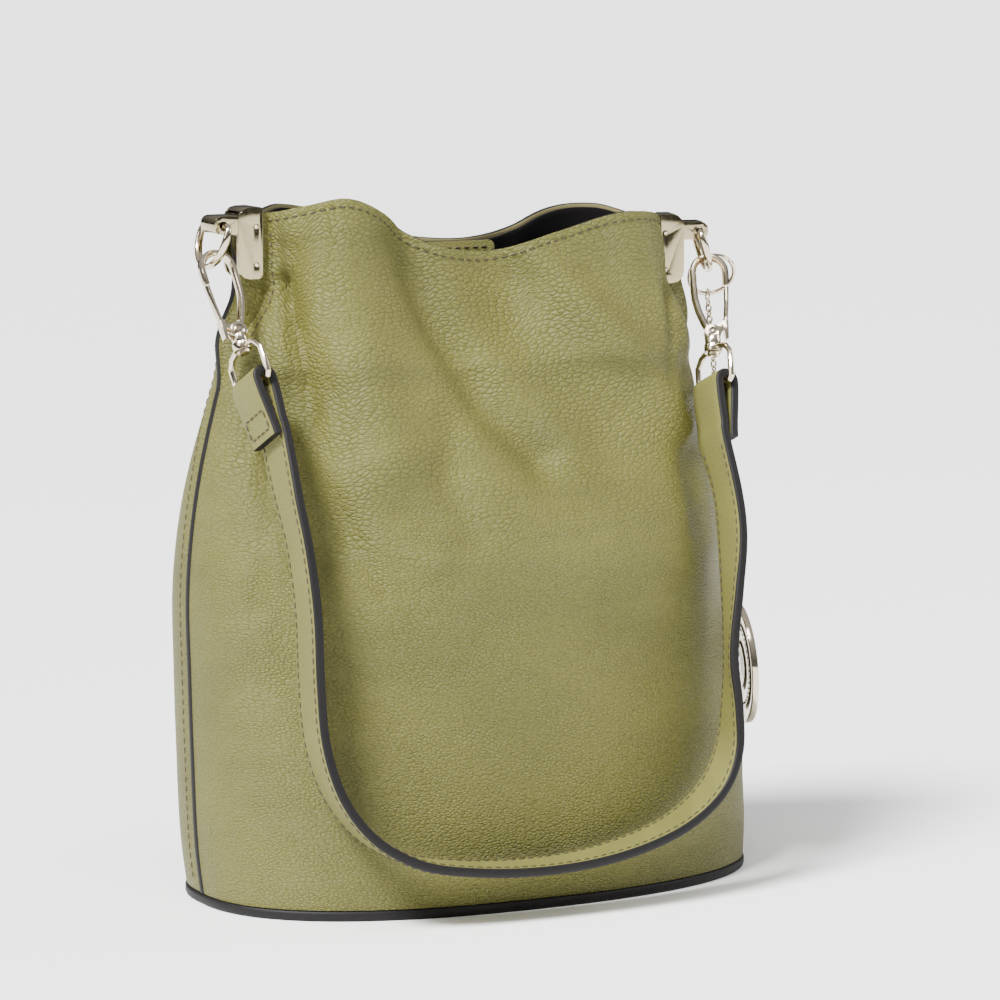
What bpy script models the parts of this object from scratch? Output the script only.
"""Bucket shoulder bag with a clip-on strap and a charm, as separate pieces.

Frame: +X to the right across the bag, -Y to the front (the strap side), +Z up.
The origin is at the middle of the underside of the base. Lengths are worked in
millimetres and scaled to metres when each mesh is made.
"""
import math

import bmesh
import bpy
from mathutils import Matrix, Vector

MM = 0.001

# ---------------------------------------------------------------- driving sizes
GAP = 0.3                     # clearance between pieces that touch
LEATHER = 2.4                 # panel leather
LINING = 1.0                  # lining with its backing
LINING_GAP = 0.6              # between a panel's inside and the lining
LINING_TRIM = 1.2             # the lining ends this far under the rim
BASE_THICK = 4.2              # base leather with its painted edge
BOARD_THICK = 2.3             # stiffener in the bottom
SEAM_HALF = 1.9               # half of the gap that the painted seam edge fills
FIN_HALF = 5.3                # half thickness of the pinched corner under a clamp
SEAM_TOP = 254.0              # the seam edge ends just under the clamps
COLUMNS = 18                  # mesh columns across one panel
LEVELS = (18.0, 48.0, 80.0, 110.0, 135.0, 162.0, 186.0, 206.0, 222.0, 228.0, 234.0, 240.0,
          246.0, 254.0, 263.0)   # heights of the mesh rows under the rim

# Body sections: height, left half width, right half width, front depth, rear depth
SECTIONS = (
    (0.0, 121.0, 123.5, 69.5, 69.5),
    (25.0, 124.0, 123.5, 71.5, 72.0),
    (60.0, 125.5, 119.5, 71.5, 72.5),
    (95.0, 126.5, 113.5, 70.0, 72.0),
    (130.0, 127.0, 110.5, 67.0, 69.5),
    (165.0, 123.5, 108.0, 58.0, 62.0),
    (200.0, 116.0, 103.0, 47.5, 51.0),
    (228.0, 107.0, 97.0, 38.0, 39.0),
    (246.0, 95.0, 88.0, 31.5, 29.5),
    (256.0, 93.0, 87.0, 28.0, 25.0),
    (290.0, 92.0, 86.0, 23.0, 17.5),
)
FULL_POWER = 2.35             # section shape low down, a squarish oval
MOUTH_POWER = 1.9             # section shape at the mouth
PINCH_FROM = 190.0            # the magnet draws the middle in above this height
PINCH = 0.52                  # share of the depth it takes at the rim
FIN_FROM = 210.0              # the corners start to flatten here
FIN_FULL = 246.0
FIN_LENGTH = 12.5             # flattened corner inside and beside the clamp

# Rim heights along X: front and rear
FRONT_RIM = ((-108, 283.0), (-94, 283.0), (-82, 286.0), (-66, 288.5), (-45, 280.0), (-20, 267.5),
             (4, 265.5), (30, 272.5), (58, 279.0), (78, 278.0), (88, 273.8), (103, 273.8))
REAR_RIM = ((-108, 283.0), (-94, 283.0), (-80, 285.0), (-50, 279.0), (-22, 270.5), (20, 270.0),
            (50, 278.5), (70, 280.0), (80, 277.5), (88, 273.8), (103, 273.8))

# Clamps, one on each pinched corner: centre line of the lug and turn about Z
CLAMPS = {
    "left": {"lug": (-113.0, 0.0, 278.5), "turn": 180.0, "lean": 16.0},
    "right": {"lug": (105.5, -7.3, 269.5), "turn": -22.0, "lean": 16.0},
}
CLAMP_INNER = -17.2           # inner edge of the plates, measured outwards from the lug
CLAMP_OUTER = -6.3            # their outer edge
CLAMP_DROP = 22.0             # plate below the lug's centre line
CLAMP_RISE = 7.0              # top above the lug's centre line
CLAMP_HALF = 7.3              # half of its thickness across the corner
CLAMP_WALL = 1.6

# D-rings
RING_RADIUS = 13.2            # centre line of the round part
RING_ARM = 4.5                # straight arm from the bar to the round part
RING_BAR = 1.35               # bar radius
RING_WIDE = 1.9               # half width of the flattened part

# Snap hooks, measured along their own axis from the swivel face
HOOK_EYE = 32.3               # height of the eye's centre
HOOK_RADIUS = 6.9             # centre line radius of the eye
HOOK_BAR = 1.5                # half thickness in the hook's plane
HOOK_HALF = 2.2               # half thickness across the plane
HOOK_MOUTH = 26.4             # the tip ends here
GATE_GAP = 0.9                # between the gate's end and the tip
HOOK_PIVOT = 4.8              # the gate's rivet
EYE_CLEAR = 2.4               # eye over the D-ring's bar
SLOT_HALF = 1.35              # half width of the slot for the gate's tail
HOOK_DOWN = {"left": (0.10, -0.47, -0.88), "right": (-0.16, -0.40, -0.894)}
HOOK_OUT = {"left": (-1.0, 0.0, 0.0), "right": (0.93, -0.37, 0.0)}
PIVOT_RADIUS = 1.1
STUD_RADIUS = 1.5
FRAME_BAR = 1.3               # strap loop wire
FRAME_HALF = 12.8             # half width of the strap loop
FRAME_DROP = 17.2             # lower bar under the swivel face

# Strap
STRAP_WIDTH = 20.0
STRAP_THICK = 4.0
STRAP_TAIL = 24.0             # folded end, stitched to the outside
STRAP_CLOSE = 2.08            # centre line of tail and leg off the middle where they meet

# The strap's centre line from the left loop to the right one: x, y, z and the
# sideways share of its width direction
STRAP_ROUTE = (
    (-106.0, -52.0, 174.0, 0.05), (-104.3, -59.5, 153.0, 0.0),
    (-103.0, -64.0, 128.0, 0.0), (-102.5, -65.5, 100.0, 0.0), (-101.0, -67.5, 76.0, 0.0),
    (-95.5, -72.0, 55.0, 0.0), (-84.0, -77.5, 38.5, 0.0), (-66.5, -82.5, 28.0, 0.0),
    (-44.0, -86.0, 23.5, 0.0), (-17.0, -87.0, 21.5, 0.0), (10.0, -87.0, 22.5, 0.0),
    (35.0, -85.5, 26.5, 0.0), (57.0, -82.5, 33.5, 0.0), (74.5, -78.0, 44.5, 0.0),
    (84.0, -74.5, 59.5, -0.05), (86.5, -72.5, 78.0, -0.2), (87.0, -70.5, 99.0, -0.4),
    (90.0, -66.0, 124.0, -0.2), (93.0, -60.5, 146.0, 0.0), (94.0, -54.0, 165.0, 0.0),
)

# Charm
CHARM_RING_RADIUS = 9.9
CHARM_RING_BAR = 1.05
CHARM_DISC_RADIUS = 26.0
CHARM_DISC_THICK = 2.6
JUMP_RADIUS = 2.7
JUMP_BAR = 0.5
CHARM_END = Vector((122.0, -13.0, 112.0))
CHARM_FACE = Vector((0.96, -0.28, 0.0)).normalized()

DOWN = Vector((0.0, 0.0, -1.0))
Y, Z = Vector((0, 1, 0)), Vector((0, 0, 1))


# ------------------------------------------------------------------- materials
def make_material(name, colour, roughness, metallic):
    """A plain Principled material."""
    material = bpy.data.materials.new(name)
    material.use_nodes = True
    shader = material.node_tree.nodes["Principled BSDF"]
    shader.inputs["Base Color"].default_value = (*colour, 1.0)
    shader.inputs["Roughness"].default_value = roughness
    shader.inputs["Metallic"].default_value = metallic
    material.diffuse_color = (*colour, 1.0)
    return material


# --------------------------------------------------------------- mesh helpers
def make_object(name, bm, look, parent=None, origin=None, smooth=35.0):
    """Turn a mesh in millimetres into an object with its origin at the given point."""
    bmesh.ops.recalc_face_normals(bm, faces=bm.faces)
    centre = Vector(origin) if origin is not None else Vector((0.0, 0.0, 0.0))
    bm.transform(Matrix.Scale(MM, 4) @ Matrix.Translation(-centre))
    mesh = bpy.data.meshes.new(name)
    bm.to_mesh(mesh)
    bm.free()
    if mesh.polygons and signed_volume(mesh) < 0.0:
        mesh.flip_normals()
    mesh.shade_smooth()
    mesh.set_sharp_from_angle(angle=math.radians(smooth))
    mesh.materials.append(make_material(name, *look))
    piece = bpy.data.objects.new(name, mesh)
    bpy.context.scene.collection.objects.link(piece)
    piece.location = centre * MM
    if parent is not None:
        piece.parent = parent
        piece.matrix_parent_inverse = parent.matrix_world.inverted()
    return piece


def signed_volume(mesh):
    """Six times the volume of a closed mesh, negative when it is inside out."""
    total = 0.0
    for face in mesh.polygons:
        corners = [mesh.vertices[i].co for i in face.vertices]
        for k in range(1, len(corners) - 1):
            total += corners[0].dot(corners[k].cross(corners[k + 1]))
    return total


def loft(rings, closed=False):
    """Skin a row of equal rings, with a cap on each end or closed on itself."""
    bm = bmesh.new()
    rows = [[bm.verts.new(point) for point in ring] for ring in rings]
    count = len(rows[0])
    pairs = list(zip(rows, rows[1:]))
    if closed:
        pairs.append((rows[-1], rows[0]))
    for low, high in pairs:
        for k in range(count):
            j = (k + 1) % count
            bm.faces.new((low[k], low[j], high[j], high[k]))
    if not closed:
        bm.faces.new(rows[0][::-1])
        bm.faces.new(rows[-1])
    return bm


def sweep(path, half_a, half_b, across, sides=8, closed=False):
    """Sweep an oval along a path; across gives the direction of half_b at a point."""
    rings = []
    count = len(path)
    for k, point in enumerate(path):
        if closed:
            before, after = path[k - 1], path[(k + 1) % count]
        else:
            before, after = path[max(k - 1, 0)], path[min(k + 1, count - 1)]
        tangent = (after - before).normalized()
        wide = across(point) if callable(across) else Vector(across)
        wide = (wide - tangent * wide.dot(tangent)).normalized()
        thin = tangent.cross(wide)
        ring = []
        for i in range(sides):
            angle = 2.0 * math.pi * (i + 0.5) / sides
            ring.append(point + thin * (half_a * math.cos(angle))
                        + wide * (half_b * math.sin(angle)))
        rings.append(ring)
    return loft(rings, closed)


def slab(outline, axis_from, axis_to):
    """Extrude a closed outline of points by the vector between two offsets."""
    return loft([[p + axis_from for p in outline], [p + axis_to for p in outline]])


def rod(centre, direction, length, radius, sides=12):
    """A cylinder centred on a point."""
    bm = bmesh.new()
    bmesh.ops.create_cone(bm, cap_ends=True, segments=sides, radius1=radius,
                          radius2=radius, depth=length)
    turn = Vector((0.0, 0.0, 1.0)).rotation_difference(Vector(direction)).to_matrix().to_4x4()
    bm.transform(Matrix.Translation(centre) @ turn)
    return bm


def disc(centre, direction, length, profile, sides=32):
    """Turn a profile of (radius, height share) pairs about an axis."""
    axis = Vector(direction).normalized()
    side = axis.orthogonal().normalized()
    rings = []
    for radius, share in profile:
        ring = []
        for k in range(sides):
            angle = 2.0 * math.pi * k / sides
            arm = Matrix.Rotation(angle, 3, axis) @ side
            ring.append(Vector(centre) + axis * (length * share) + arm * radius)
        rings.append(ring)
    return loft(rings)


def box(centre, half):
    """An axis-aligned block."""
    bm = bmesh.new()
    bmesh.ops.create_cube(bm, size=2.0)
    bm.transform(Matrix.Translation(centre) @ Matrix.Diagonal((*half, 1.0)))
    return bm


def combine(bm, others, operation):
    """Join or cut a mesh with others through exact Boolean modifiers."""
    target = bpy.data.meshes.new("target")
    bmesh.ops.recalc_face_normals(bm, faces=bm.faces)
    bm.to_mesh(target)
    bm.free()
    body = bpy.data.objects.new("target", target)
    bpy.context.scene.collection.objects.link(body)
    tools = []
    for other in others:
        bmesh.ops.recalc_face_normals(other, faces=other.faces)
        mesh = bpy.data.meshes.new("tool")
        other.to_mesh(mesh)
        other.free()
        tool = bpy.data.objects.new("tool", mesh)
        bpy.context.scene.collection.objects.link(tool)
        modifier = body.modifiers.new("combine", "BOOLEAN")
        modifier.operation = operation
        modifier.solver = "EXACT"
        modifier.object = tool
        tools.append(tool)
    bpy.context.view_layer.update()
    result = bmesh.new()
    result.from_object(body, bpy.context.evaluated_depsgraph_get())
    for used in [body] + tools:
        bpy.data.objects.remove(used, do_unlink=True)
    bmesh.ops.remove_doubles(result, verts=result.verts, dist=0.0005)
    return result


def union(bm, *others):
    return combine(bm, others, "UNION")


def cut(bm, *others):
    return combine(bm, others, "DIFFERENCE")


def spline(points, steps):
    """Points along a smooth curve through the given ones (Catmull-Rom)."""
    padded = [points[0] * 2 - points[1]] + list(points) + [points[-1] * 2 - points[-2]]
    result = []
    for k in range(1, len(padded) - 2):
        a, b, c, d = padded[k - 1:k + 3]
        for i in range(steps):
            t = i / steps
            result.append(0.5 * (2 * b + (c - a) * t + (2 * a - 5 * b + 4 * c - d) * t * t
                                 + (3 * b - a - 3 * c + d) * t * t * t))
    result.append(points[-1].copy())
    return result


def along(table, value, column=1):
    """Smooth reading of a table whose first column rises."""
    if value <= table[0][0]:
        return table[0][column]
    for low, high in zip(table, table[1:]):
        if value <= high[0]:
            share = (value - low[0]) / (high[0] - low[0])
            k = table.index(low)
            before = table[max(k - 1, 0)]
            after = table[min(k + 2, len(table) - 1)]
            slope_low = (high[column] - before[column]) / (high[0] - before[0])
            slope_high = (after[column] - low[column]) / (after[0] - low[0])
            width = high[0] - low[0]
            h2 = share * share
            h3 = h2 * share
            return ((2 * h3 - 3 * h2 + 1) * low[column] + (h3 - 2 * h2 + share) * width * slope_low
                    + (3 * h2 - 2 * h3) * high[column] + (h3 - h2) * width * slope_high)
    return table[-1][column]


def ramp(value, low, high):
    """0 below low, 1 above high, smooth between."""
    share = min(max((value - low) / (high - low), 0.0), 1.0)
    return share * share * (3.0 - 2.0 * share)


# -------------------------------------------------------------- body sections
def corner_points(height):
    """The two pinched corners at a height: left and right, on the seam line."""
    flat = ramp(height, FIN_FROM, FIN_FULL)
    left = Vector((-along(SECTIONS, height, 1), 0.0))
    right = Vector((along(SECTIONS, height, 2), 0.0))
    left_fin = left + Vector((-1.0, 0.0)) * (FIN_LENGTH * flat)
    turn = math.radians(CLAMPS["right"]["turn"])
    right_fin = right + Vector((math.cos(turn), math.sin(turn))) * (FIN_LENGTH * flat)
    return left, right, left_fin, right_fin


def half_outline(height, side, fine=60):
    """Front (side -1) or rear (side +1) outline at a height, left corner to right."""
    depth = along(SECTIONS, height, 3 if side < 0 else 4)
    power = FULL_POWER + (MOUTH_POWER - FULL_POWER) * ramp(height, 150.0, 260.0)
    pinch = PINCH * ramp(height, PINCH_FROM, 275.0)
    flat = ramp(height, FIN_FROM, FIN_FULL)
    half_gap = SEAM_HALF + (FIN_HALF - SEAM_HALF) * min(1.0, 4.0 * flat)
    left, right, left_fin, right_fin = corner_points(height)
    points = []
    if (left - left_fin).length > 0.2:
        points += [left_fin + Vector((0.0, side * half_gap))]
    for k in range(fine + 1):
        angle = math.pi * (1.0 - k / fine)
        reach = left.x if angle > math.pi / 2 else right.x
        x = abs(reach) * math.copysign(abs(math.cos(angle)) ** (2.0 / power), math.cos(angle))
        y = depth * abs(math.sin(angle)) ** (2.0 / power)
        y *= 1.0 - pinch * math.exp(-((x + 3.0) / 34.0) ** 2)
        points.append(Vector((x, side * (half_gap + y))))
    if (right - right_fin).length > 0.2:
        turn = math.radians(CLAMPS["right"]["turn"]) * flat
        normal = Vector((-math.sin(turn), math.cos(turn))) * (side * half_gap)
        points[-1] = right + normal
        points.append(right_fin + normal)
    return points


def resample(points):
    """Points along a polyline: two cells on each corner, the rest evenly between."""
    lengths = [0.0]
    for a, b in zip(points, points[1:]):
        lengths.append(lengths[-1] + (b - a).length)
    total = lengths[-1]
    inner = COLUMNS - 4
    goals = [0.0, FIN_LENGTH / 2]
    goals += [FIN_LENGTH + (total - 2 * FIN_LENGTH) * k / inner for k in range(inner + 1)]
    goals += [total - FIN_LENGTH / 2, total]
    result = []
    k = 0
    for goal in goals:
        while k < len(points) - 2 and lengths[k + 1] < goal:
            k += 1
        step = lengths[k + 1] - lengths[k]
        result.append(points[k].lerp(points[k + 1], (goal - lengths[k]) / step))
    return result


def body_loop(height, inset=0.0):
    """Closed loop at a height, front then rear, moved inwards by the inset."""
    front = resample(half_outline(height, -1))
    rear = resample(half_outline(height, 1))
    loop = front + rear[::-1]
    if inset == 0.0:
        return loop
    moved = []
    count = len(loop)
    for k, point in enumerate(loop):
        into = (point - loop[k - 1]).normalized()
        out = (loop[(k + 1) % count] - point).normalized()
        normal_in = Vector((-into.y, into.x))
        normal_out = Vector((-out.y, out.x))
        miter = (normal_in + normal_out) / max(1.0 + normal_in.dot(normal_out), 0.4)
        moved.append(point + miter * inset)
    return moved


def rim_height(x, side):
    return along(FRONT_RIM if side < 0 else REAR_RIM, x)


def column_heights(k, side, low, trim=0.0):
    """Heights of one mesh column, from the bottom through the levels to the rim."""
    near_top = resample(half_outline(272.0, side))[k]
    rim = rim_height(near_top.x, side) - trim
    return [low] + list(LEVELS) + [(LEVELS[-1] + rim) / 2, rim]


# ------------------------------------------------------------------- bag body
def skin_grid(side, low, inset, trim=0.0):
    """Rows of points over one half of the body, at a depth under its surface."""
    columns = [column_heights(k, side, low, trim) for k in range(COLUMNS + 1)]
    grid = []
    for row in range(len(columns[0])):
        line = []
        for k in range(COLUMNS + 1):
            height = columns[k][row]
            index = k if side < 0 else 2 * COLUMNS + 1 - k
            at = body_loop(height, inset)[index]
            line.append(Vector((at.x, at.y, height)))
        grid.append(line)
    return grid


def add_skin(bm, grid):
    """Add a grid with the same diagonal in every cell, so stacked skins stay apart."""
    rows = [[bm.verts.new(p) for p in line] for line in grid]
    for a, b in zip(rows, rows[1:]):
        for k in range(len(a) - 1):
            bm.faces.new((a[k], a[k + 1], b[k + 1]))
            bm.faces.new((a[k], b[k + 1], b[k]))
    return rows


def border(rows):
    """The grid's outer vertices in order: bottom, right side, top, left side."""
    right = [row[-1] for row in rows[1:-1]]
    left = [row[0] for row in rows[1:-1]]
    return rows[0] + right + rows[-1][::-1] + left[::-1]


def bridge(bm, first, second):
    """Quads between two closed rows of vertices."""
    count = len(first)
    for k in range(count):
        j = (k + 1) % count
        bm.faces.new((first[k], first[j], second[j], second[k]))


def build_panel(name, side, look, root):
    """One half of the body: leather from seam to seam and from base to rim."""
    low = BASE_THICK + GAP
    bm = bmesh.new()
    outer = add_skin(bm, skin_grid(side, low, 0.0))
    inner = add_skin(bm, skin_grid(side, low, LEATHER))
    bridge(bm, border(outer), border(inner))
    return make_object(name, bm, look, root)


def build_lining(root):
    """The bag's dark lining: one thin cup that follows both panels."""
    low = BASE_THICK + 2 * GAP + BOARD_THICK + 0.2
    start = LEATHER + LINING_GAP
    bm = bmesh.new()
    rims = []
    for floor, inset in ((low, start), (low + LINING, start + LINING)):
        front = add_skin(bm, skin_grid(-1, floor, inset, trim=LINING_TRIM))
        rear = add_skin(bm, skin_grid(1, floor, inset, trim=LINING_TRIM))
        for a, b in zip(range(len(front) - 1), range(1, len(front))):
            bm.faces.new((front[a][0], front[b][0], rear[b][0], rear[a][0]))
            bm.faces.new((front[a][-1], front[b][-1], rear[b][-1], rear[a][-1]))
        bm.faces.new(front[0] + rear[0][::-1])
        rims.append(front[-1] + rear[-1][::-1])
    bridge(bm, *rims)
    return make_object("lining", bm, ((0.02, 0.018, 0.018), 0.9, 0.0), root)


def flat_outline(height, inset, level):
    return [Vector((p.x, p.y, level)) for p in body_loop(height, inset)]


def build_base(root):
    """Base leather with its painted edge, and the board above it."""
    outline = flat_outline(BASE_THICK, -0.6, 0.0)
    bm = slab(outline, Vector((0, 0, 0)), Vector((0, 0, BASE_THICK)))
    make_object("base_panel", bm, ((0.03, 0.028, 0.03), 0.55, 0.0), root)
    outline = flat_outline(BASE_THICK + 1.0, LEATHER + 0.8, 0.0)
    level = BASE_THICK + GAP
    bm = slab(outline, Vector((0, 0, level)), Vector((0, 0, level + BOARD_THICK - 0.2)))
    make_object("base_board", bm, ((0.25, 0.18, 0.11), 0.8, 0.0), root)


def build_seam_edge(name, index, root):
    """Painted edge strip that fills the gap between the panels' side edges."""
    heights = [BASE_THICK + GAP] + [level for level in LEVELS if level <= SEAM_TOP]
    mate = 2 * COLUMNS + 1 - index
    rings = []
    for height in heights:
        near, far = body_loop(height), body_loop(height, LEATHER - 0.1)
        front, rear = near[index], near[mate]
        deep_front, deep_rear = far[index], far[mate]
        out = ((front + rear) - (deep_front + deep_rear)).normalized() * 0.5
        across = (rear - front).normalized() * GAP
        ring = (front + across + out, deep_front + across * 1.5, deep_rear - across * 1.5,
                rear - across + out)
        rings.append([Vector((p.x, p.y, height)) for p in ring])
    make_object(name, loft(rings), ((0.03, 0.028, 0.03), 0.5, 0.0), root)


def rounded_rect(x0, x1, z0, z1, radii, y=0.0, steps=3):
    """Outline in the XZ plane, corner radii given from lower left, anticlockwise."""
    corners = (((x0, z0), 180), ((x1, z0), 270), ((x1, z1), 0), ((x0, z1), 90))
    signs = ((1, 1), (-1, 1), (-1, -1), (1, -1))
    outline = []
    for ((x, z), start), (sx, sz), radius in zip(corners, signs, radii):
        if radius == 0:
            outline.append(Vector((x, y, z)))
            continue
        for k in range(steps + 1):
            angle = math.radians(start + 90.0 * k / steps)
            outline.append(Vector((x + sx * radius + radius * math.cos(angle), y,
                                   z + sz * radius + radius * math.sin(angle))))
    return outline


def build_closure(root):
    """Tab inside the rear rim with its magnetic snap, and the snap on the front."""
    middle = COLUMNS // 2
    skin = LEATHER + LINING_GAP + LINING
    rear_face = resample(half_outline(269.0, 1))[middle].y - skin
    front_face = resample(half_outline(266.0, -1))[middle].y + skin
    top = 267.5
    outline = rounded_rect(-21.5, 17.5, top - 19.0, top, (6, 6, 3, 3))
    far = rear_face - 1.0
    bm = slab(outline, Vector((0, far - 2.8, 0)), Vector((0, far, 0)))
    make_object("closure_tab", bm, ((0.29, 0.285, 0.125), 0.5, 0.0), root)
    centre = Vector((-2.0, 0.0, top - 10.5))
    tab_face = far - 2.8 - GAP
    for name, start, turn in (("snap_cap", tab_face, -1.0), ("snap_stud", front_face + 1.0, 1.0)):
        axis = Y * turn
        base = centre + Vector((0.0, start, 0.0))
        bm = disc(base, axis, 2.0, ((7.0, 0.0), (7.0, 0.7), (6.2, 1.0)), 20)
        make_object(name, bm, ((0.7, 0.68, 0.62), 0.3, 1.0), root)


# ------------------------------------------------------------------- hardware
METAL = ((0.78, 0.74, 0.66), 0.18, 1.0)


def axes_matrix(origin, out, across, up):
    """Matrix that places a piece drawn in (out, across, up) coordinates."""
    turn = Matrix((out, across, up)).transposed().to_4x4()
    return Matrix.Translation(origin) @ turn


def clamp_axes(side):
    """Lug centre, outward direction, direction across the corner."""
    data = CLAMPS[side]
    turn = math.radians(data["turn"])
    outward = Vector((math.cos(turn), math.sin(turn), 0.0))
    across = Vector((0.0, 0.0, 1.0)).cross(outward)
    return Vector(data["lug"]), outward, across


def plate(outline, half):
    """Extrude an outline in the XZ plane to both sides of it."""
    return slab(outline, Vector((0, -half, 0)), Vector((0, half, 0)))


def build_clamp(side, root):
    """Saddle clamp over the pinched corner, with a rolled lug for the D-ring."""
    lug, outward, across = clamp_axes(side)
    place = axes_matrix(lug, outward, across, Z)
    body = plate(rounded_rect(CLAMP_INNER, CLAMP_OUTER, -CLAMP_DROP, CLAMP_RISE, (2, 5, 5, 1)),
                 CLAMP_HALF)
    roll = plate(rounded_rect(CLAMP_OUTER - 2.0, 3.9, -3.7, 3.7, (0, 3, 3, 0)), CLAMP_HALF - 0.3)
    body = union(body, roll)
    slot_half = CLAMP_HALF - CLAMP_WALL
    floor, roof = -CLAMP_DROP - 5.0, CLAMP_RISE - 1.7
    open_end, shoulder = CLAMP_INNER - 5.0, CLAMP_OUTER - 0.6
    slot = [Vector((x, 0.0, z)) for x, z in ((open_end, floor), (6.0, floor), (6.0, -4.2),
                                             (shoulder, -4.2), (shoulder, roof), (open_end, roof))]
    bore = rod(Vector(), Y, 4 * CLAMP_HALF, RING_BAR + GAP + 0.1, 12)
    spots = [Vector((CLAMP_INNER + 2.9, 0.0, drop)) for drop in (-1.0, -16.5)]
    holes = [rod(spot, Y, 4 * CLAMP_HALF, 1.0 + GAP, 12) for spot in spots]
    body = cut(body, plate(slot, slot_half), bore, *holes)
    body.transform(place)
    make_object("clamp_" + side, body, METAL, root)
    for level, spot in zip(("upper", "lower"), spots):
        for sign in (-1.0, 1.0):
            end = "front" if across.y * sign < 0 else "rear"
            centre = spot + Y * (sign * (slot_half + 0.1))
            bm = disc(centre, Y * sign, 2.3, ((1.0, 0.0), (1.0, 0.83), (0.6, 1.0)), 12)
            bm.transform(place)
            make_object("clamp_rivet_%s_%s_%s" % (side, level, end), bm, METAL, root)


def ring_frame(side):
    """D-ring plane: bar centre, direction down the ring, direction along its bar."""
    lug, outward, across = clamp_axes(side)
    lean = math.radians(CLAMPS[side]["lean"])
    drop = outward * math.sin(lean) + DOWN * math.cos(lean)
    return lug, drop, across


def build_d_ring(side, root):
    """D-ring whose straight bar turns in the clamp's lug."""
    lug, drop, across = ring_frame(side)
    centre = lug + drop * RING_ARM
    path = []
    for k in range(5):
        path.append(lug + across * (RING_RADIUS - 2.2) * (k / 2.0 - 1.0))
    path.append(lug + across * (RING_RADIUS - 0.55) + drop * 0.7)
    for k in range(15):
        angle = math.pi * k / 14
        path.append(centre + across * (RING_RADIUS * math.cos(angle))
                    + drop * (RING_RADIUS * math.sin(angle)))
    path.append(lug - across * (RING_RADIUS - 0.55) + drop * 0.7)
    wide = drop.cross(across)
    bm = sweep(path, RING_BAR, RING_BAR, wide, 8, closed=True)
    for vert in bm.verts:
        depth = (vert.co - lug).dot(drop)
        share = ramp(depth, 1.6, 5.0)
        offset = (vert.co - lug).dot(wide)
        vert.co += wide * offset * share * (RING_WIDE / RING_BAR - 1.0)
    return make_object("d_ring_" + side, bm, METAL, root, origin=lug)


def hook_frame(side):
    """Matrix of a snap hook: origin on the swivel face, Z up the hook, X outward."""
    down = Vector(HOOK_DOWN[side]).normalized()
    outward = Vector(HOOK_OUT[side])
    lug, drop, across = ring_frame(side)
    lean = math.radians(CLAMPS[side]["lean"])
    centre = lug + drop * RING_ARM + outward * (RING_RADIUS * math.sin(lean) * 0.85)
    outward = (outward - down * outward.dot(down)).normalized()
    reach = RING_RADIUS - RING_BAR - EYE_CLEAR + HOOK_EYE + HOOK_RADIUS - HOOK_BAR
    up = -down
    return axes_matrix(centre + down * reach, outward, up.cross(outward), up)


def build_hook(side, place, root):
    """Snap hook body: collar, pivot cheeks, spine and round eye."""
    route = [(-1.2, 5.2), (-3.3, 9.5), (-5.4, 15.0), (-6.6, 20.5), (-6.9, 26.0)]
    for k in range(11):
        angle = math.pi * (1.0 - k / 10)
        route.append((HOOK_RADIUS * math.cos(angle), HOOK_EYE + HOOK_RADIUS * math.sin(angle)))
    route.append((HOOK_RADIUS, HOOK_MOUTH))
    body = sweep([Vector((x, 0.0, z)) for x, z in route], HOOK_BAR, HOOK_HALF - 0.1, Y, 8)
    cheek = rod(Vector((0, 0, HOOK_PIVOT)), Y, 2 * HOOK_HALF, 3.6, 16)
    collar = rod(Vector((0, 0, 1.5)), Z, 3.0, 3.4, 16)
    body = union(body, cheek, collar)
    slot = box(Vector((1.7, 0.0, HOOK_PIVOT + 1.0)), (3.5, SLOT_HALF, 3.8))
    round_slot = rod(Vector((0, 0, HOOK_PIVOT)), Y, 2 * SLOT_HALF - 0.01, 2.9, 16)
    hole = rod(Vector((0, 0, HOOK_PIVOT)), Y, 20.0, PIVOT_RADIUS + GAP, 12)
    bore = rod(Vector(), Z, 3.2, STUD_RADIUS + GAP, 12)
    body = cut(body, slot, round_slot, hole, bore)
    body.transform(place)
    make_object("hook_" + side, body, METAL, root, origin=place.translation)


def build_gate(side, place, root):
    """Sprung gate with its thumb pad, its rivet and the spring on the rivet."""
    pivot = Vector((0.0, 0.0, HOOK_PIVOT))
    home = place @ pivot
    route = ((5.5, 9.0), (6.1, 12.0), (6.6, 18.0), (6.9, HOOK_MOUTH - GATE_GAP))
    body = sweep([Vector((x, 0.0, z)) for x, z in route], 1.1, 1.9, Y, 8)
    middle = Y * -0.55
    tail = rod(pivot + middle, Y, 1.0, 2.6, 16)
    arm = slab([Vector((x, 0.0, z)) for x, z in ((0.0, 7.3), (5.4, 10.4), (6.2, 7.6), (2.4, 3.7))],
               middle - Y * 0.49, middle + Y * 0.49)
    pad = plate([Vector((x, 0.0, z)) for x, z in ((4.4, 10.0), (6.9, 10.0), (6.6, 2.2), (5.5, 1.8))],
                1.8)
    body = union(body, tail, arm, pad)
    body = cut(body, rod(pivot, Y, 20.0, PIVOT_RADIUS + GAP, 12))
    body.transform(place)
    make_object("gate_" + side, body, METAL, root, origin=home)
    pin = rod(pivot, Y, 2 * HOOK_HALF + 0.5, PIVOT_RADIUS, 12)
    pin.transform(place)
    make_object("gate_rivet_" + side, pin, METAL, root, origin=home)
    spring = cut(rod(pivot + Y * 0.7, Y, 0.7, 2.3, 16), rod(pivot, Y, 20.0, PIVOT_RADIUS + GAP, 12))
    spring.transform(place)
    make_object("gate_spring_" + side, spring, METAL, root, origin=home)


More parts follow.
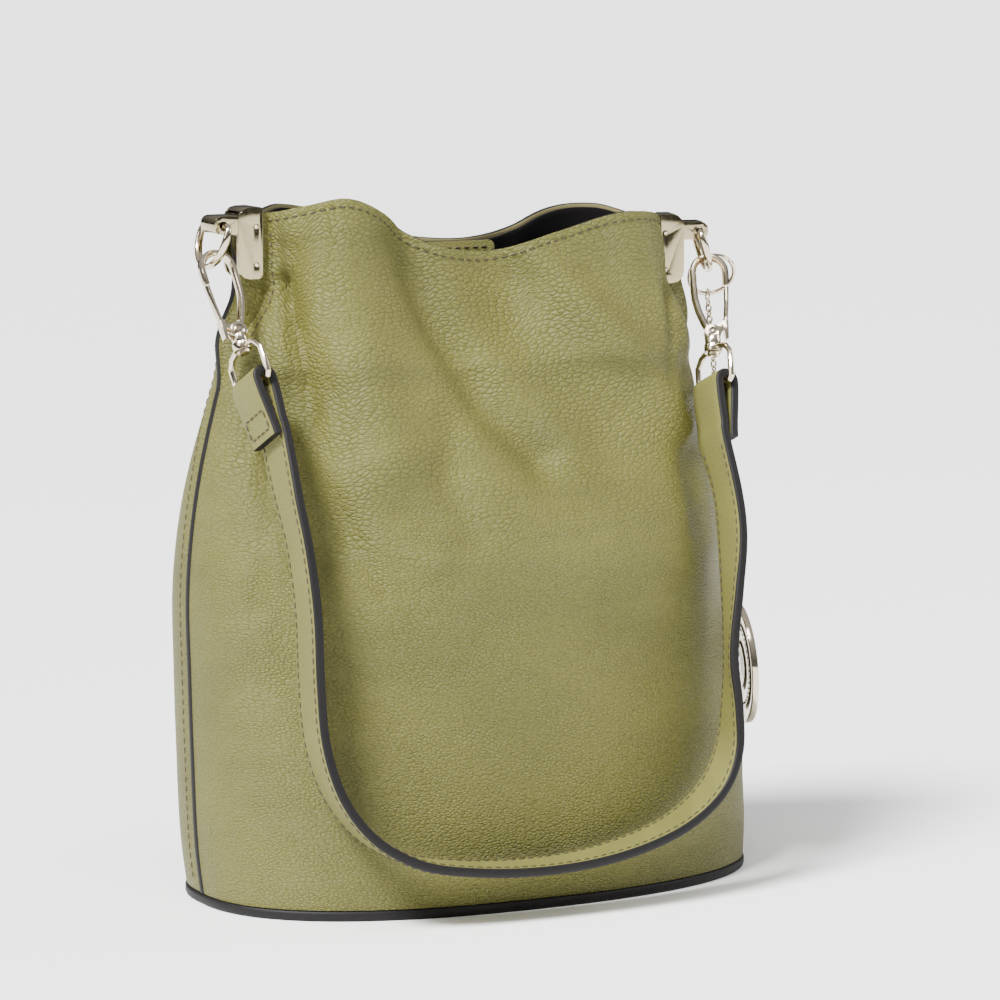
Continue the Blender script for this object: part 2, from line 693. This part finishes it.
def loop_frame(side, place):
    """Matrix of a strap loop: Z up the hook, X along the strap's width."""
    up = place.to_3x3().col[2]
    wide = Vector((0.14 if side == "left" else 0.0, -1.0, 0.0))
    wide = (wide - up * wide.dot(up)).normalized()
    return axes_matrix(place.translation, wide, up.cross(wide), up)


def build_strap_loop(side, place, root):
    """Swivelling strap loop and the stud that holds it to the hook."""
    home = place.translation
    turned = loop_frame(side, place)
    top = -GAP - 1.6
    block = rod(Vector((0, 0, top)), Z, 3.2, 3.9, 16)
    low = top - FRAME_DROP
    route = [(0.0, top), (4.5, top), (9.5, top - 1.6), (FRAME_HALF, top - 5.2),
             (FRAME_HALF, low + 1.2), (FRAME_HALF - 1.1, low), (0.0, low)]
    route += [(-x, z) for x, z in route[-2:0:-1]]
    body = sweep([Vector((x, 0.0, z)) for x, z in route], FRAME_BAR, FRAME_BAR, Y, 8, closed=True)
    body = cut(union(body, block), rod(Vector(), Z, 12.0, STUD_RADIUS + GAP, 12))
    body.transform(turned)
    make_object("strap_loop_" + side, body, METAL, root, origin=home)
    stud = disc(Z * 1.2, DOWN, 6.6, ((STUD_RADIUS, 0.0), (STUD_RADIUS, 0.765), (2.7, 0.77),
                                     (2.7, 0.93), (1.9, 1.0)), 16)
    stud.transform(turned)
    make_object("swivel_stud_" + side, stud, METAL, root, origin=home)
    axes = turned.to_3x3()
    return turned @ Vector((0.0, 0.0, low)), -axes.col[2], axes.col[0]


# ----------------------------------------------------------------------- strap
def fold_points(bar, down, wide, side):
    """Centre line of the folded end: tail outside, round the bar, inside."""
    normal = down.cross(wide).normalized()
    if (normal.x > 0) != (side == "right"):
        normal = -normal
    turn = FRAME_BAR + GAP + STRAP_THICK / 2
    tail, leg = [], []
    for share in (1.0, 0.75, 0.5, 0.25):
        drift = normal * (turn + (STRAP_CLOSE - turn) * ramp(share, 0.0, 1.0))
        tail.append(bar + drift + down * (STRAP_TAIL * share))
        leg.append(bar - drift + down * (STRAP_TAIL * share))
    arc = []
    for k in range(9):
        angle = math.pi * k / 8
        arc.append(bar + normal * (turn * math.cos(angle)) - down * (turn * math.sin(angle)))
    return tail, arc, leg[::-1]


def build_strap(loops, root):
    """One flat strap: folded round both loops and hanging in front of the bag."""
    left_tail, left_arc, left_leg = fold_points(*loops["left"], "left")
    right_tail, right_arc, right_leg = fold_points(*loops["right"], "right")
    middle = [Vector(p[:3]) for p in STRAP_ROUTE]
    near = [left_arc[-1]] + left_leg
    far = right_leg[::-1] + [right_arc[-1]]
    leg = spline(near + middle + far, 3)
    wides = [loops["left"][2]] * len(near)
    wides += [Vector((p[3], -1.0, 0.0)) for p in STRAP_ROUTE]
    wides += [loops["right"][2]] * len(far)
    path = left_tail + left_arc[:-1] + leg + right_arc[:-1][::-1] + right_tail[::-1]
    widths = [loops["left"][2]] * (len(left_tail) + len(left_arc) - 1)
    widths += spline(wides, 3)
    widths += [loops["right"][2]] * (len(right_tail) + len(right_arc) - 1)
    rings = []
    for k, point in enumerate(path):
        before, after = path[max(k - 1, 0)], path[min(k + 1, len(path) - 1)]
        tangent = (after - before).normalized()
        wide = widths[k] - tangent * widths[k].dot(tangent)
        wide = wide.normalized() * (STRAP_WIDTH / 2)
        thin = tangent.cross(wide).normalized() * (STRAP_THICK / 2)
        rings.append([point + wide + thin, point - wide + thin,
                      point - wide - thin, point + wide - thin])
    make_object("strap", loft(rings), ((0.36, 0.35, 0.16), 0.5, 0.0), root, smooth=40)


# ----------------------------------------------------------------------- charm
def torus(centre, normal, radius, bar, around=28, sides=8, start=0.0, end=360.0):
    """A round-bar ring, or an arc of one, about a centre."""
    normal = Vector(normal).normalized()
    first = Vector((0, 0, 1)) - normal * normal.z
    first.normalize()
    closed = end - start >= 360.0
    path = []
    steps = around if closed else around + 1
    for k in range(steps):
        angle = math.radians(start + (end - start) * k / around)
        path.append(centre + (Matrix.Rotation(angle, 3, normal) @ first) * radius)
    return sweep(path, bar, bar, normal, sides, closed)


def charm_frame():
    """Spring ring: touching point on the D-ring, its axis, its centre and lowest point."""
    lug, drop, across = ring_frame("right")
    centre = lug + drop * RING_ARM
    angle = math.radians(32.0)
    back = across if across.y > 0 else -across
    on_ring = centre + (drop * math.cos(angle) + back * math.sin(angle)) * RING_RADIUS
    axis = (back * math.cos(angle) - drop * math.sin(angle)).normalized()
    hang = Vector((0.60, 0.15, -0.78))
    hang = (hang - axis * hang.dot(axis)).normalized()
    middle = on_ring + hang * (CHARM_RING_RADIUS - CHARM_RING_BAR - RING_BAR - 0.5)
    fall = (DOWN - axis * DOWN.dot(axis)).normalized()
    return on_ring, axis, middle, middle + fall * CHARM_RING_RADIUS


def build_charm(root):
    """Spring ring on the right D-ring, with its sprung gate."""
    on_ring, axis, middle, lowest = charm_frame()
    body = torus(middle, axis, CHARM_RING_RADIUS, CHARM_RING_BAR, 22, 8, 118.0, 400.0)
    make_object("charm_ring", body, METAL, root, origin=on_ring)
    gate = torus(middle, axis, CHARM_RING_RADIUS, CHARM_RING_BAR, 7, 8, 43.0, 115.0)
    make_object("charm_ring_gate", gate, METAL, root, origin=on_ring)


def charm_line():
    """Centre of the jump ring, direction of the chain and the disc's centre."""
    lowest = charm_frame()[3]
    top = lowest + DOWN * (JUMP_RADIUS - JUMP_BAR - CHARM_RING_BAR - 0.4)
    run = (CHARM_END - top).normalized()
    return top, run, CHARM_END + run * (CHARM_DISC_RADIUS + 2.0)


def build_chain(root):
    """Jump ring, chain, lower ring and the round charm."""
    top, run, centre = charm_line()
    ring_axis = charm_frame()[1].cross(DOWN).normalized()
    make_object("charm_jump_ring", torus(top, ring_axis, JUMP_RADIUS, JUMP_BAR, 12, 6),
                METAL, root, origin=top)
    start = top + run * (JUMP_RADIUS + 1.2)
    end = CHARM_END - run * 6.4
    bm = sweep([start.lerp(end, k / 4) for k in range(5)], 1.1, 1.1, CHARM_FACE, 6)
    make_object("charm_chain", bm, METAL, root, origin=top)
    lower = torus(CHARM_END - run * 2.6, CHARM_FACE.cross(run), 2.4, 0.5, 12, 6)
    make_object("charm_lower_ring", lower, METAL, root)
    profile = ((CHARM_DISC_RADIUS - 1.0, 0.0), (CHARM_DISC_RADIUS, 0.3), (CHARM_DISC_RADIUS, 0.7),
               (CHARM_DISC_RADIUS - 1.0, 1.0), (CHARM_DISC_RADIUS - 3.4, 1.0),
               (CHARM_DISC_RADIUS - 4.2, 0.72))
    face = CHARM_FACE.cross(run).cross(run).normalized()
    plate_bm = disc(centre - face * (CHARM_DISC_THICK / 2), face, CHARM_DISC_THICK, profile, 28)
    bail = torus(centre - run * (CHARM_DISC_RADIUS + 1.6), face, 2.2, 0.8, 12, 6)
    make_object("charm_disc", union(plate_bm, bail), METAL, root, origin=centre)


# ----------------------------------------------------------------------- build
def main():
    for old in list(bpy.data.objects):
        bpy.data.objects.remove(old, do_unlink=True)
    root = bpy.data.objects.new("bag_root", None)
    bpy.context.scene.collection.objects.link(root)
    green = ((0.27, 0.265, 0.115), 0.48, 0.0)
    build_base(root)
    build_panel("front_panel", -1, green, root)
    build_panel("rear_panel", 1, green, root)
    build_lining(root)
    build_seam_edge("seam_edge_left", 0, root)
    build_seam_edge("seam_edge_right", COLUMNS, root)
    build_closure(root)
    loops = {}
    for side in ("left", "right"):
        build_clamp(side, root)
        build_d_ring(side, root)
        place = hook_frame(side)
        build_hook(side, place, root)
        build_gate(side, place, root)
        loops[side] = build_strap_loop(side, place, root)
    build_strap(loops, root)
    build_charm(root)
    build_chain(root)


main()
